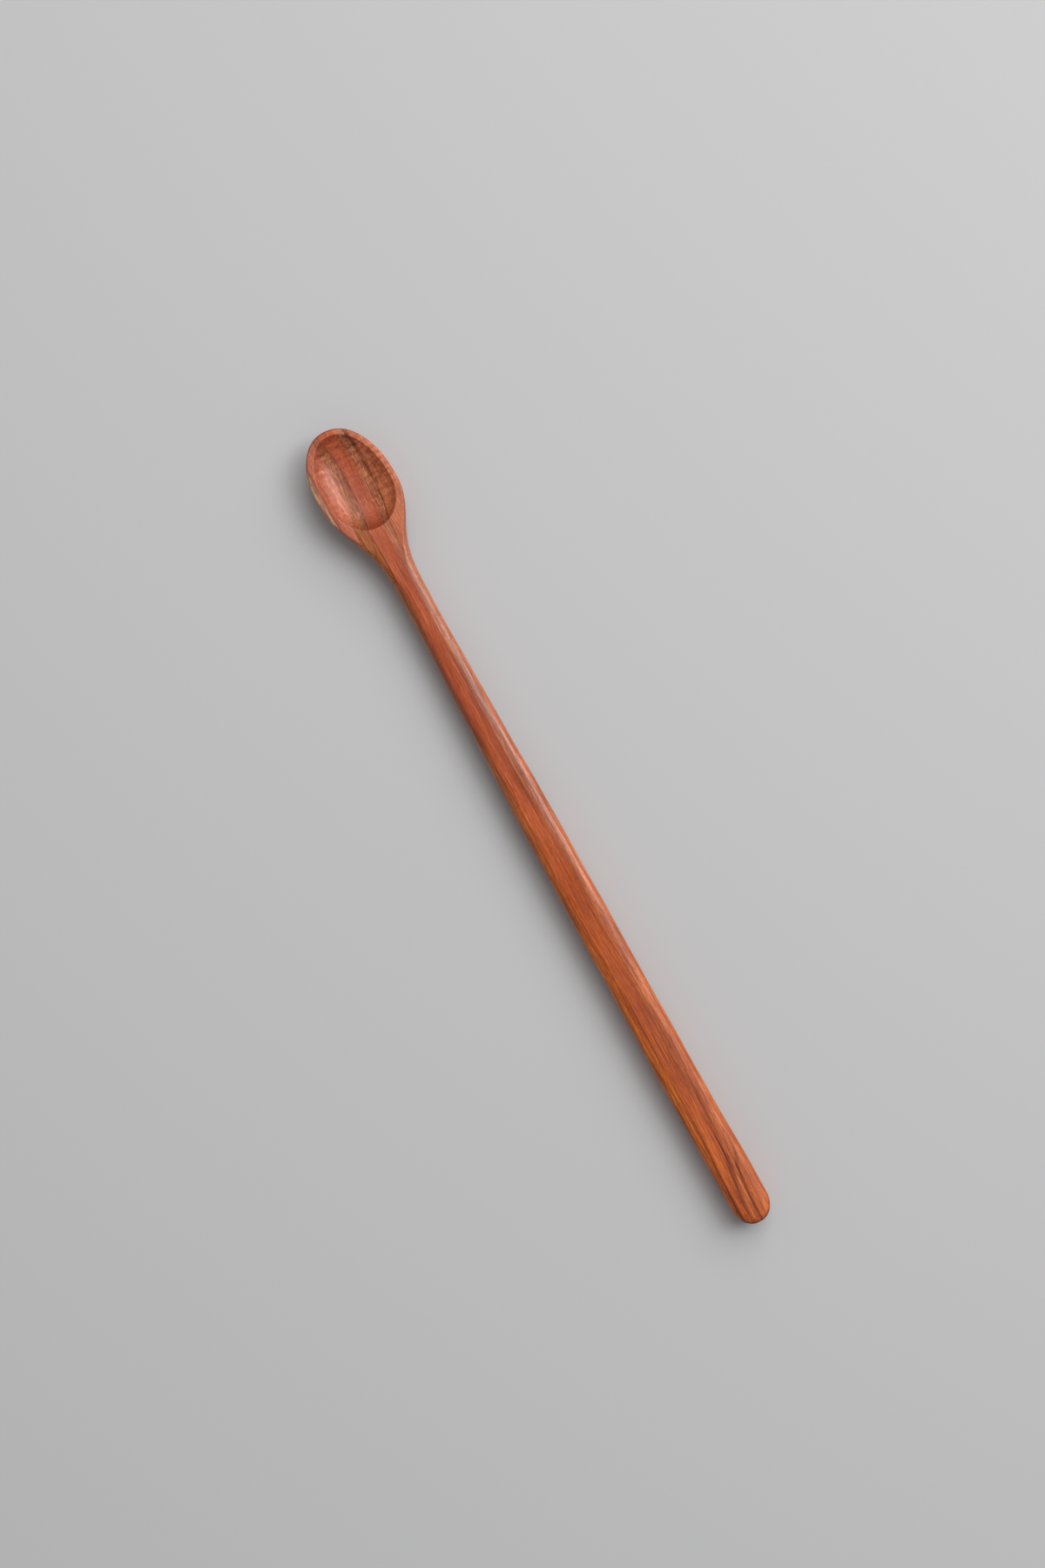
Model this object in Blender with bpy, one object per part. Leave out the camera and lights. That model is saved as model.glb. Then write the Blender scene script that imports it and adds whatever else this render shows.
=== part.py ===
"""Wooden tasting spoon, carved in one piece out of one blank of wood.

For Blender 4.5, in metres with +Z up: blender --background --python part.py

+X runs from the handle's end to the bowl's tip. The spoon lies on z = 0 as it
lies on a table, on the bottom of its bowl and on the end of its handle, and
the origin is on the table under the middle of its length.

A place along the spoon is given as s, the distance back from the bowl's tip.
"""

import math

import bmesh
import bpy

# Driving dimensions, in metres

LENGTH = 0.305

# The bowl in plan
BOWL_WIDTH = 0.0281
WIDEST_FROM_TIP = 0.0218
SHOULDER_REACH = 0.0199  # the swell has fallen to about a third this far behind the widest place

# The hollow that holds the taste
RIM_WIDTH = 0.0022
HOLLOW_DEPTH = 0.0045
HOLLOW_BEHIND_WIDEST = 0.0154
FLOOR_THICKNESS = 0.0073

# The keel under the bowl
LOWEST_FROM_TIP = 0.0195
KEEL_REACH = 0.022

# The neck, where the handle is slimmest and nearly round
NECK_FROM_TIP = 0.065
NECK_WIDTH = 0.0098
NECK_THICKNESS = 0.0086
CROWN_BELOW_RIM = 0.0002  # the neck's crown lies this far under the plane of the rim
SHOULDER_FLAT_END = 0.030  # from here back the flat top narrows into the neck's crown

# The handle, which grows wider, thicker and squarer towards its end
GRIP_FROM_TIP = 0.168
GRIP_WIDTH = 0.0128
END_WIDTH = 0.0136
END_THICKNESS = 0.0114

# Rounded edges
RIM_EDGE_ACROSS = 0.0006
RIM_EDGE_DOWN = 0.0010
CROWN_FLAT = 0.0003  # half the width of the narrow flat left along the crown
END_CORNER_ALONG = 0.0075
END_CORNER_ACROSS = 0.0056
END_EDGE_ALONG = 0.0030
END_EDGE_DOWN = 0.0015

# How much is sanded off level where the spoon rests
REST_FLAT = 0.0002

# Fullness of the curves: 2 is an ellipse, and a greater number is squarer
NOSE_FULLNESS = 2.1
SHOULDER_FULLNESS = 2.5
HOLLOW_FRONT_FULLNESS = 2.05
HOLLOW_BACK_FULLNESS = 2.3
HOLLOW_FLOOR_FULLNESS = 3.0
HOLLOW_WALL_FULLNESS = 1.08
KEEL_FULLNESS = 2.2
HULL_FULLNESS = 2.15
NECK_FULLNESS = 2.1
GRIP_FULLNESS = 3.3
END_FULLNESS = 4.2

# Mesh steps
NOSE_STEPS = 14
SHOULDER_STEPS = 24
HANDLE_STEPS = 20
END_STEPS = 7
EDGE_STEPS = 7
HULL_STEPS = 11
HOLLOW_STEPS_ROUND = 56
HOLLOW_STEPS_DOWN = 12

# Derived places
RIM_HEIGHT = FLOOR_THICKNESS + HOLLOW_DEPTH
TIP_X = LENGTH / 2
NECK_TOP = RIM_HEIGHT - CROWN_BELOW_RIM
CUTTER_OVERRUN = 0.004
SHARP_ANGLE = math.radians(32)


def mix(start, end, share):
    """The value a share of the way from start to end."""
    return start + (end - start) * share


def ease(share):
    """A share from 0 to 1 that starts and ends gently."""
    share = min(max(share, 0.0), 1.0)
    return share * share * (3 - 2 * share)


def quarter(distance, reach, fullness):
    """Height of a superellipse's quarter of unit height, at a distance out of its reach."""
    return (1 - min(abs(distance) / reach, 1.0) ** fullness) ** (1 / fullness)


def bell(distance, reach):
    """1 at no distance, falling away like a shoulder to nothing."""
    return math.exp(-((max(distance, 0.0) / reach) ** SHOULDER_FULLNESS))


def along_handle(s):
    """Share of the way from the neck to the handle's end."""
    return max(0.0, (s - NECK_FROM_TIP) / (LENGTH - NECK_FROM_TIP))


def into_neck(s):
    """0 on the bowl, 1 from the neck on."""
    return ease((s - SHOULDER_FLAT_END) / (NECK_FROM_TIP - SHOULDER_FLAT_END))


def end_inset(s, along, inset):
    """How far an elliptical corner at the handle's end has drawn in."""
    return inset * (1 - quarter(along - min(LENGTH - s, along), along, 2))


def neck_grip_end(s, neck, grip, end):
    """A value that eases from the neck's to the grip's, and goes on evenly to the end's."""
    to_grip = ease((s - NECK_FROM_TIP) / (GRIP_FROM_TIP - NECK_FROM_TIP))
    to_end = max(0.0, (s - GRIP_FROM_TIP) / (LENGTH - GRIP_FROM_TIP))
    return mix(neck, grip, to_grip) + (end - grip) * to_end


def handle_half_width(s):
    """Half the handle's width, without its corners."""
    return neck_grip_end(s, NECK_WIDTH, GRIP_WIDTH, END_WIDTH) / 2


def half_width(s):
    """Half the spoon's width in plan."""
    if s < WIDEST_FROM_TIP:
        return BOWL_WIDTH / 2 * quarter(WIDEST_FROM_TIP - s, WIDEST_FROM_TIP, NOSE_FULLNESS)
    handle = handle_half_width(s) - end_inset(s, END_CORNER_ALONG, END_CORNER_ACROSS)
    return mix(handle, BOWL_WIDTH / 2, bell(s - WIDEST_FROM_TIP, SHOULDER_REACH))


def flat_half_width(s):
    """Half the width of the flat top, which is the rim before the hollow is cut."""
    if s < WIDEST_FROM_TIP:
        reach = WIDEST_FROM_TIP - RIM_EDGE_ACROSS
        width = BOWL_WIDTH / 2 - RIM_EDGE_ACROSS
        return width * quarter(WIDEST_FROM_TIP - s, reach, NOSE_FULLNESS)
    full = half_width(s)
    return full - mix(RIM_EDGE_ACROSS, full - CROWN_FLAT, into_neck(s) ** 2)


def top_height(s):
    """Height of the top: the plane of the rim, then the handle's crown."""
    before_flat = RIM_EDGE_ACROSS - min(s, RIM_EDGE_ACROSS)
    tip_round = RIM_EDGE_DOWN * (1 - quarter(before_flat, RIM_EDGE_ACROSS, 2))
    crown = mix(NECK_TOP, END_THICKNESS, along_handle(s)) - end_inset(s, END_EDGE_ALONG, END_EDGE_DOWN)
    return mix(RIM_HEIGHT - tip_round, crown, into_neck(s))


def bottom_height(s):
    """Height of the keel line under the bowl, then of the handle's underside."""
    if s < LOWEST_FROM_TIP:
        depth = RIM_HEIGHT - RIM_EDGE_DOWN + REST_FLAT
        return depth * (1 - quarter(LOWEST_FROM_TIP - s, LOWEST_FROM_TIP, KEEL_FULLNESS)) - REST_FLAT
    under_handle = mix(NECK_TOP - NECK_THICKNESS, -REST_FLAT, along_handle(s))
    keel = mix(under_handle, -REST_FLAT, bell(s - LOWEST_FROM_TIP, KEEL_REACH))
    return keel + end_inset(s, END_EDGE_ALONG, END_EDGE_DOWN)


def arc(width, height, fullness, steps):
    """A superellipse's quarter from (0, height) to (width, 0), in equal turns."""
    points = []
    for step in range(steps + 1):
        turn = math.pi / 2 * step / steps
        across, up = math.sin(turn), math.cos(turn)
        size = (across ** fullness + up ** fullness) ** (-1 / fullness)
        points.append((width * across * size, height * up * size))
    return points


def section(s):
    """The cross-section at s, a closed ring of points round the X axis.

    The top is flat, an arc turns over the edge to the widest place, and the hull's
    arc goes on from there down to the keel.
    """
    top, bottom = top_height(s), bottom_height(s)
    flat = flat_half_width(s)
    edge_down = min(mix(RIM_EDGE_DOWN, (top - bottom) / 2, into_neck(s)), (top - bottom) / 2)
    edge_fullness = neck_grip_end(s, NECK_FULLNESS, GRIP_FULLNESS, END_FULLNESS)
    hull_fullness = edge_fullness + (HULL_FULLNESS - NECK_FULLNESS) * (1 - into_neck(s))
    edge = arc(half_width(s) - flat, edge_down, edge_fullness, EDGE_STEPS)
    hull = arc(half_width(s), top - edge_down - bottom, hull_fullness, HULL_STEPS)

    side = [(flat + across, top - edge_down + up) for across, up in edge]
    side += [(across, top - edge_down - down) for across, down in reversed(hull[1:-1])]
    keel = [(0.0, bottom)]
    mirrored = [(-across, up) for across, up in reversed(side)]
    return [(TIP_X - s, across, up) for across, up in side + keel + mirrored]


def stations():
    """Places of the sections, close together where the outline turns fast."""
    turns = [math.pi / 2 * (step + 0.5) / NOSE_STEPS for step in range(NOSE_STEPS)]
    nose = [WIDEST_FROM_TIP * (1 - math.cos(turn)) for turn in turns]
    shoulder = [mix(WIDEST_FROM_TIP, NECK_FROM_TIP, step / SHOULDER_STEPS) for step in range(SHOULDER_STEPS)]
    end_start = LENGTH - END_CORNER_ALONG
    handle = [mix(NECK_FROM_TIP, end_start, step / HANDLE_STEPS) for step in range(HANDLE_STEPS)]
    end = [end_start + END_CORNER_ALONG * math.sin(math.pi / 2 * step / END_STEPS) for step in range(END_STEPS + 1)]
    return nose + shoulder + handle + end


def loft(name, rings, tip=None):
    """A closed mesh through rings of points, with a point or a flat face at its ends."""
    mesh = bpy.data.meshes.new(name)
    bm = bmesh.new()
    loops = [[bm.verts.new(point) for point in ring] for ring in rings]
    for ring, following in zip(loops, loops[1:]):
        for index in range(len(ring)):
            before = index - 1
            bm.faces.new((ring[before], ring[index], following[index], following[before]))
    if tip is None:
        bm.faces.new(loops[0])
    else:
        point = bm.verts.new(tip)
        for index in range(len(loops[0])):
            bm.faces.new((loops[0][index - 1], loops[0][index], point))
    bm.faces.new(loops[-1])
    bmesh.ops.remove_doubles(bm, verts=bm.verts, dist=1e-6)
    bmesh.ops.recalc_face_normals(bm, faces=bm.faces)
    bm.to_mesh(mesh)
    bm.free()
    return bpy.data.objects.new(name, mesh)


def hollow_ring(share, height):
    """A ring of the hollow, at a share of the way from its middle out to its edge."""
    front = WIDEST_FROM_TIP - RIM_WIDTH
    side = BOWL_WIDTH / 2 - RIM_WIDTH
    points = []
    for step in range(HOLLOW_STEPS_ROUND):
        turn = 2 * math.pi * step / HOLLOW_STEPS_ROUND
        forward, across = math.cos(turn), math.sin(turn)
        reach = front if forward > 0 else HOLLOW_BEHIND_WIDEST
        fullness = HOLLOW_FRONT_FULLNESS if forward > 0 else HOLLOW_BACK_FULLNESS
        size = share * (abs(forward) ** fullness + abs(across) ** fullness) ** (-1 / fullness)
        points.append((TIP_X - WIDEST_FROM_TIP + reach * forward * size, side * across * size, height))
    return points


def hollow_cutter():
    """The gouge's sweep: a floor that turns up evenly into the walls, and on out of the top."""
    rings = [hollow_ring(1.0, RIM_HEIGHT + CUTTER_OVERRUN)]
    for step in range(HOLLOW_STEPS_DOWN):
        turn = math.pi / 2 * step / HOLLOW_STEPS_DOWN
        share = math.cos(turn)
        depth = HOLLOW_DEPTH * (1 - share ** HOLLOW_FLOOR_FULLNESS) ** (1 / HOLLOW_WALL_FULLNESS)
        rings.append(hollow_ring(share, RIM_HEIGHT - depth))
    floor_middle = (TIP_X - WIDEST_FROM_TIP, 0.0, RIM_HEIGHT - HOLLOW_DEPTH)
    return loft("hollow_cutter", list(reversed(rings)), tip=floor_middle)


def rest_cutter():
    """A block under the table's plane, which sands the underside level where it rests."""
    mesh = bpy.data.meshes.new("rest_cutter")
    bm = bmesh.new()
    bmesh.ops.create_cube(bm, size=1.0)
    bmesh.ops.scale(bm, vec=(LENGTH * 1.1, BOWL_WIDTH * 1.5, CUTTER_OVERRUN), verts=bm.verts)
    bm.to_mesh(mesh)
    bm.free()
    cutter = bpy.data.objects.new("rest_cutter", mesh)
    cutter.location.z = -CUTTER_OVERRUN / 2
    return cutter


def wood():
    """Oiled reddish-brown hardwood."""
    material = bpy.data.materials.new("oiled_hardwood")
    material.use_nodes = True
    shader = material.node_tree.nodes["Principled BSDF"]
    shader.inputs["Base Color"].default_value = (0.36, 0.125, 0.062, 1.0)
    shader.inputs["Roughness"].default_value = 0.42
    shader.inputs["Metallic"].default_value = 0.0
    return material


def cut(body, cutter, cutters):
    """Takes the cutter's shape out of the body, and puts the cutter with the others."""
    cutter.hide_render = True
    cutter.display_type = "WIRE"
    cutters.objects.link(cutter)
    boolean = body.modifiers.new(cutter.name, "BOOLEAN")
    boolean.operation = "DIFFERENCE"
    boolean.solver = "EXACT"
    boolean.object = cutter


def build():
    """The spoon and its two cutters, each in its collection."""
    for item in list(bpy.data.objects):
        bpy.data.objects.remove(item, do_unlink=True)
    parts = bpy.data.collections.new("tasting_spoon")
    cutters = bpy.data.collections.new("cutters")
    bpy.context.scene.collection.children.link(parts)
    bpy.context.scene.collection.children.link(cutters)

    tip = (TIP_X, 0.0, RIM_HEIGHT - RIM_EDGE_DOWN)
    spoon = loft("spoon", [section(s) for s in stations()], tip=tip)
    parts.objects.link(spoon)
    spoon.data.materials.append(wood())
    spoon.data.shade_smooth()
    spoon.data.set_sharp_from_angle(angle=SHARP_ANGLE)
    cut(spoon, rest_cutter(), cutters)
    cut(spoon, hollow_cutter(), cutters)


build()
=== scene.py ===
"""Wooden tasting spoon: the carved surface, its wood and its oil finish, on a plain pale table.

The spoon's lengths are in millimetres until its mesh is made, and the table's and the lamps' are
in metres. A place along the spoon is given as s, the distance back from the bowl's tip, and w is
the distance sideways, along +Y, which is the spoon's left.
"""

import math

import bmesh
import bpy
import numpy as np
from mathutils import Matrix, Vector


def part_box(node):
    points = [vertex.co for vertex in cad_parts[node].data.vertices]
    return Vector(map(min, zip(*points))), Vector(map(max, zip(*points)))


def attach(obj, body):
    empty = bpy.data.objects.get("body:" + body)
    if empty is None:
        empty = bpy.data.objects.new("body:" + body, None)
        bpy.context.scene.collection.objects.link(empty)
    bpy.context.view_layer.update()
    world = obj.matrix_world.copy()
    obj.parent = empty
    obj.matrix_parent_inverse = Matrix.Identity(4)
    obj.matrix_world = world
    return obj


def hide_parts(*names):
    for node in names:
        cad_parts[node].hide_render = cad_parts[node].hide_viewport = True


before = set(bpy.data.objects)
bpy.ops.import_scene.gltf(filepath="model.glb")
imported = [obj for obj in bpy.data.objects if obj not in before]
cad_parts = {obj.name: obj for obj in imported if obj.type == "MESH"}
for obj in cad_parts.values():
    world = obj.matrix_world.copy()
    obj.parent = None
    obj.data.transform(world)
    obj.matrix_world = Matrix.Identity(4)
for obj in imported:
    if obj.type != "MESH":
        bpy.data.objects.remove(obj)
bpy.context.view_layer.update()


# The spoon
# Bowl, neck and handle are one piece, sawn from a straight-grained blank of reddish hardwood.
# The blank's top was planed, the hollow was gouged out of it, and the rest was shaved round.

MM = 0.001
low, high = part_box("spoon")
TIP_X = high.x / MM
LENGTH = (high.x - low.x) / MM
BOWL_WIDTH = (high.y - low.y) / MM
RIM_HEIGHT = high.z / MM

# Places, widths and heights of the plain form
WIDEST_FROM_TIP = 21.8
SHOULDER_REACH = 19.9
RIM_WIDTH = 2.2
HOLLOW_DEPTH = 4.5
HOLLOW_BEHIND_WIDEST = 15.4
LOWEST_FROM_TIP = 19.5
KEEL_REACH = 22.0
NECK_FROM_TIP = 65.0
NECK_WIDTH = 9.8
NECK_THICKNESS = 8.6
CROWN_BELOW_RIM = 0.2
SHOULDER_FLAT_END = 30.0
GRIP_FROM_TIP = 168.0
GRIP_WIDTH = 12.8
END_WIDTH = 13.6
END_THICKNESS = 11.4
RIM_EDGE_ACROSS = 0.6
RIM_EDGE_DOWN = 1.0
CROWN_FLAT = 0.3
END_CORNER_ALONG = 7.5
END_CORNER_ACROSS = 5.6
END_EDGE_ALONG = 3.0
END_EDGE_DOWN = 1.5
REST_FLAT = 0.2
BEHIND_HOLLOW = 43.0  # the rim's face ends here, and the crown's strip starts
EDGE_DEEPENS_FROM = 28.0  # from here on, the top's rounded edge grows to half the thickness
EDGE_DEEPENS_OVER = 20.0

# Curves' fullness: 2 is an ellipse or a plain bell, and more is squarer
NOSE_FULLNESS = 2.1
SHOULDER_FULLNESS = 2.5
HOLLOW_FRONT_FULLNESS = 2.05
HOLLOW_BACK_FULLNESS = 2.1
HOLLOW_FLOOR_FULLNESS = 3.0
HOLLOW_WALL_FULLNESS = 1.08
KEEL_FULLNESS = 2.2
HULL_FULLNESS = 2.15
NECK_FULLNESS = 2.1
GRIP_FULLNESS = 3.3
END_FULLNESS = 4.2
RIGHT_EDGE_FULLNESS = [
    (40, 1.9), (52, 2.8), (60, 3.9), (88, 4.0), (104, 3.0), (122, 4.2), (150, 3.8), (172, 5.2),
    (262, 4.9), (305, 4.2),
]

# What the carver's hand left: a trimmed left shoulder, a hollow a little to the right, its
# rounded lip between two shares of the hollow's reach, and the gouge's faint ripple
SHOULDER_TRIM = 1.2
SHOULDER_TRIM_AT = 42.0
SHOULDER_TRIM_REACH = 6.0
HOLLOW_ASIDE = -0.25
LIP_INSIDE = 0.985
LIP_OUTSIDE = 1.015
GOUGE_MARK = 0.08
GOUGE_RIPPLES = [(2.1, 0.0), (3.4, 1.0)]  # wave length and phase
GOUGE_PATH_SHARE = 0.4
GOUGE_PATH_WIDTH = 5.6
GOUGE_PATH_SLANT = 2.3
GOUGE_FULL_DEPTH = 1.0
GOUGE_MARKS_END = 34.0
GOUGE_MARKS_FADE = 20.0


def mix(start, end, share):
    """The value a share of the way from start to end."""
    return start + (end - start) * share


def ease(share):
    """A share from 0 to 1 that starts and ends gently: 3 x squared minus 2 x cubed."""
    share = np.clip(share, 0.0, 1.0)
    return share * share * (3 - 2 * share)


def quarter(distance, reach, fullness):
    """Height of a superellipse's quarter: (1 - (distance / reach)^n)^(1 / n)."""
    return (1 - np.minimum(np.abs(distance) / reach, 1.0) ** fullness) ** (1 / fullness)


def bell(distance, reach):
    """1 at no distance, falling away like a shoulder: exp(-(distance / reach)^n)."""
    return np.exp(-((np.maximum(distance, 0.0) / reach) ** SHOULDER_FULLNESS))


def into_neck(s):
    """0 on the bowl, 1 from the neck on."""
    return ease((s - SHOULDER_FLAT_END) / (NECK_FROM_TIP - SHOULDER_FLAT_END))


def along_handle(s):
    """Share of the way from the neck to the handle's end."""
    return np.maximum(0.0, (s - NECK_FROM_TIP) / (LENGTH - NECK_FROM_TIP))


def end_inset(s, along, inset):
    """How far an ellipse's quarter, so long and so deep, has drawn in at the handle's end."""
    return inset * (1 - quarter(along - np.minimum(LENGTH - s, along), along, 2))


def neck_grip_end(s, neck, grip, end):
    """A value that eases from the neck's to the grip's, and goes on evenly to the end's."""
    to_grip = ease((s - NECK_FROM_TIP) / (GRIP_FROM_TIP - NECK_FROM_TIP))
    to_end = np.maximum(0.0, (s - GRIP_FROM_TIP) / (LENGTH - GRIP_FROM_TIP))
    return mix(neck, grip, to_grip) + (end - grip) * to_end


def half_width(s):
    """Half the width in plan: an oval nose, a bell-shaped shoulder, a handle that widens."""
    before_widest = np.minimum(s, WIDEST_FROM_TIP) - WIDEST_FROM_TIP
    nose = BOWL_WIDTH / 2 * quarter(before_widest, WIDEST_FROM_TIP, NOSE_FULLNESS)
    handle = neck_grip_end(s, NECK_WIDTH, GRIP_WIDTH, END_WIDTH) / 2
    handle = handle - end_inset(s, END_CORNER_ALONG, END_CORNER_ACROSS)
    behind = mix(handle, BOWL_WIDTH / 2, bell(s - WIDEST_FROM_TIP, SHOULDER_REACH))
    return np.where(s < WIDEST_FROM_TIP, nose, behind)


def flat_half_width(s, side):
    """Half the width of the planed top, inset from the plan by its rounded edge.

    The left shoulder (side 1) is trimmed further than the right one (side -1), by a bell curve:
    SHOULDER_TRIM times e to minus the square of the distance from its middle over its reach.
    """
    before_widest = np.minimum(s, WIDEST_FROM_TIP) - WIDEST_FROM_TIP
    nose = quarter(before_widest, WIDEST_FROM_TIP - RIM_EDGE_ACROSS, NOSE_FULLNESS)
    full = half_width(s)
    trim = SHOULDER_TRIM * np.exp(-(((s - SHOULDER_TRIM_AT) / SHOULDER_TRIM_REACH) ** 2))
    trim = trim * (1 - into_neck(s)) * (side + 1) / 2
    behind = full - mix(RIM_EDGE_ACROSS, full - CROWN_FLAT, into_neck(s) ** 2) - trim
    return np.where(s < WIDEST_FROM_TIP, (BOWL_WIDTH / 2 - RIM_EDGE_ACROSS) * nose, behind)


def top_height(s):
    """Height of the rim's plane, then of the handle's crown, which slopes down to its end."""
    before_flat = RIM_EDGE_ACROSS - np.minimum(s, RIM_EDGE_ACROSS)
    rim = RIM_HEIGHT - RIM_EDGE_DOWN * (1 - quarter(before_flat, RIM_EDGE_ACROSS, 2))
    crown = mix(RIM_HEIGHT - CROWN_BELOW_RIM, END_THICKNESS, along_handle(s))
    return mix(rim, crown - end_inset(s, END_EDGE_ALONG, END_EDGE_DOWN), into_neck(s))


def bottom_height(s):
    """Height of the keel under the bowl, then of the handle's underside."""
    depth = RIM_HEIGHT - RIM_EDGE_DOWN + REST_FLAT
    before_lowest = np.minimum(s, LOWEST_FROM_TIP) - LOWEST_FROM_TIP
    nose = depth * (1 - quarter(before_lowest, LOWEST_FROM_TIP, KEEL_FULLNESS)) - REST_FLAT
    neck_bottom = RIM_HEIGHT - CROWN_BELOW_RIM - NECK_THICKNESS
    handle = mix(neck_bottom, -REST_FLAT, along_handle(s))
    behind = mix(handle, -REST_FLAT, bell(s - LOWEST_FROM_TIP, KEEL_REACH))
    behind = behind + end_inset(s, END_EDGE_ALONG, END_EDGE_DOWN)
    return np.where(s < LOWEST_FROM_TIP, nose, behind)


def arc(turn, fullness):
    """A superellipse's quarter: sine and cosine of the turn, over their n-norm."""
    across, up = np.sin(turn), np.cos(turn)
    size = (across ** fullness + up ** fullness) ** (-1 / fullness)
    return across * size, up * size


def half_hull(s, side, edge_steps, hull_steps):
    """Rows of half sections, each from the flat's edge round the hull to the keel.

    An arc turns over the edge down to the widest place, and a second one goes on to the keel.
    The handle's right edge was left squarer than its left one, and follows its own list.
    """
    s = s[:, None]
    top, bottom, half = top_height(s), bottom_height(s), half_width(s)
    flat = flat_half_width(s, side)
    halfway = (top - bottom) / 2
    deepened = ease((s - EDGE_DEEPENS_FROM) / EDGE_DEEPENS_OVER)
    edge_down = np.minimum(mix(RIM_EDGE_DOWN, halfway, deepened), halfway)
    edge_fullness = neck_grip_end(s, NECK_FULLNESS, GRIP_FULLNESS, END_FULLNESS)
    if side < 0:
        places, fullness = zip(*RIGHT_EDGE_FULLNESS)
        edge_fullness = np.interp(s, places, fullness)
    hull_fullness = edge_fullness + (HULL_FULLNESS - NECK_FULLNESS) * (1 - into_neck(s))
    edge_across, edge_up = arc(np.linspace(0, math.pi / 2, edge_steps + 1)[None, :], edge_fullness)
    hull_across, hull_down = arc(np.linspace(math.pi / 2, 0, hull_steps + 1)[None, 1:], hull_fullness)
    w = np.concatenate([flat + (half - flat) * edge_across, half * hull_across], axis=1)
    edge_z = top - edge_down + edge_down * edge_up
    hull_z = top - edge_down - (top - edge_down - bottom) * hull_down
    z = np.concatenate([edge_z, hull_z], axis=1)
    return np.stack([np.broadcast_to(s, w.shape), w * side, z], axis=-1)


def hull_grid(s, edge_steps, hull_steps):
    """Rows of sections, each from the flat's left edge round the hull to its right edge."""
    left = half_hull(s, 1, edge_steps, hull_steps)
    right = half_hull(s, -1, edge_steps, hull_steps)
    return np.concatenate([left, right[:, -2::-1]], axis=1)


def crown_grid(s, steps):
    """Straight rows across the flat top, from its left edge to its right, behind the hollow."""
    s = s[:, None]
    share = np.linspace(0, 1, steps + 1)[None, :]
    w = mix(flat_half_width(s, 1), -flat_half_width(s, -1), share)
    return np.stack([np.broadcast_to(s, w.shape), w, np.broadcast_to(top_height(s), w.shape)], axis=-1)


def hollow_profile(lip_steps, wall_steps):
    """The hollow's section as share of its reach and depth, from the rim in to the middle.

    The wall's depth is D (1 - share^p)^(1 / q). The lip is a parabola from the rim's plane
    to the wall, with its control point where the wall's tangent meets that plane.
    """
    wall = LIP_INSIDE * np.cos(np.linspace(0, math.pi / 2, wall_steps + 1))
    wall_depth = HOLLOW_DEPTH * (1 - wall ** HOLLOW_FLOOR_FULLNESS) ** (1 / HOLLOW_WALL_FULLNESS)
    left = 1 - LIP_INSIDE ** HOLLOW_FLOOR_FULLNESS
    slope = HOLLOW_DEPTH / HOLLOW_WALL_FULLNESS * left ** (1 / HOLLOW_WALL_FULLNESS - 1)
    slope *= HOLLOW_FLOOR_FULLNESS * LIP_INSIDE ** (HOLLOW_FLOOR_FULLNESS - 1)
    corner = LIP_INSIDE + wall_depth[0] / slope
    t = np.linspace(0, 1, lip_steps + 1)[:-1]
    lip = (1 - t) ** 2 * LIP_OUTSIDE + 2 * t * (1 - t) * corner + t ** 2 * LIP_INSIDE
    lip_depth = t ** 2 * wall_depth[0]
    return np.concatenate([lip, wall]), np.concatenate([lip_depth, wall_depth])


def gouge_marks(s, w):
    """The gouge's ripple: a sum of sines along the bowl, stronger on some of its paths than others.

    The paths run aslant, side by side, and the marks fade out towards the hollow's back wall.
    """
    ripple = sum(np.sin(2 * math.pi * s / length + phase) for length, phase in GOUGE_RIPPLES)
    ripple = GOUGE_MARK / 2 * ripple * ease((GOUGE_MARKS_END - s) / GOUGE_MARKS_FADE)
    path = np.sin(2 * math.pi * w / GOUGE_PATH_WIDTH + s / GOUGE_PATH_SLANT)
    return ripple * (1 - GOUGE_PATH_SHARE + GOUGE_PATH_SHARE * path)


def hollow_grid(outline, rim_steps, lip_steps, wall_steps):
    """Rings from the flat's outline in over the rim and the lip, and down to the hollow's middle.

    Each outline point is drawn towards the middle, and the hollow's edge lies where that line
    crosses the superellipse that has one reach ahead of the middle and another behind it.
    """
    middle = np.array([WIDEST_FROM_TIP, HOLLOW_ASIDE])
    from_middle = outline - middle
    behind = from_middle[:, 0] > 0
    reach = np.where(behind, HOLLOW_BEHIND_WIDEST, WIDEST_FROM_TIP - RIM_WIDTH)
    fullness = np.where(behind, HOLLOW_BACK_FULLNESS, HOLLOW_FRONT_FULLNESS)
    along = np.abs(from_middle[:, 0]) / reach
    across = np.abs(from_middle[:, 1]) / (BOWL_WIDTH / 2 - RIM_WIDTH)
    edge = from_middle / ((along ** fullness + across ** fullness) ** (1 / fullness))[:, None]
    share, depth = hollow_profile(lip_steps, wall_steps)
    inward = np.linspace(0, 1, rim_steps + 1)[:-1, None, None]
    rim = mix(from_middle[None], edge[None] * LIP_OUTSIDE, inward)
    rings = np.concatenate([rim, edge[None] * share[:, None, None]]) + middle
    depth = np.concatenate([np.zeros(rim_steps), depth])
    s, w = rings[..., 0], rings[..., 1]
    marked = np.minimum(depth / GOUGE_FULL_DEPTH, 1.0)
    z = top_height(s) - depth[:, None] - gouge_marks(s, w) * marked[:, None]
    return np.concatenate([rings, z[..., None]], axis=-1)


def end_grid(ring, steps):
    """Rings from the handle's last section straight in to its middle: the small flat of the end."""
    middle = ring.mean(axis=0)
    share = np.linspace(1.0, 0.0, steps + 1)[:, None, None]
    return middle + (ring - middle) * share


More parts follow.
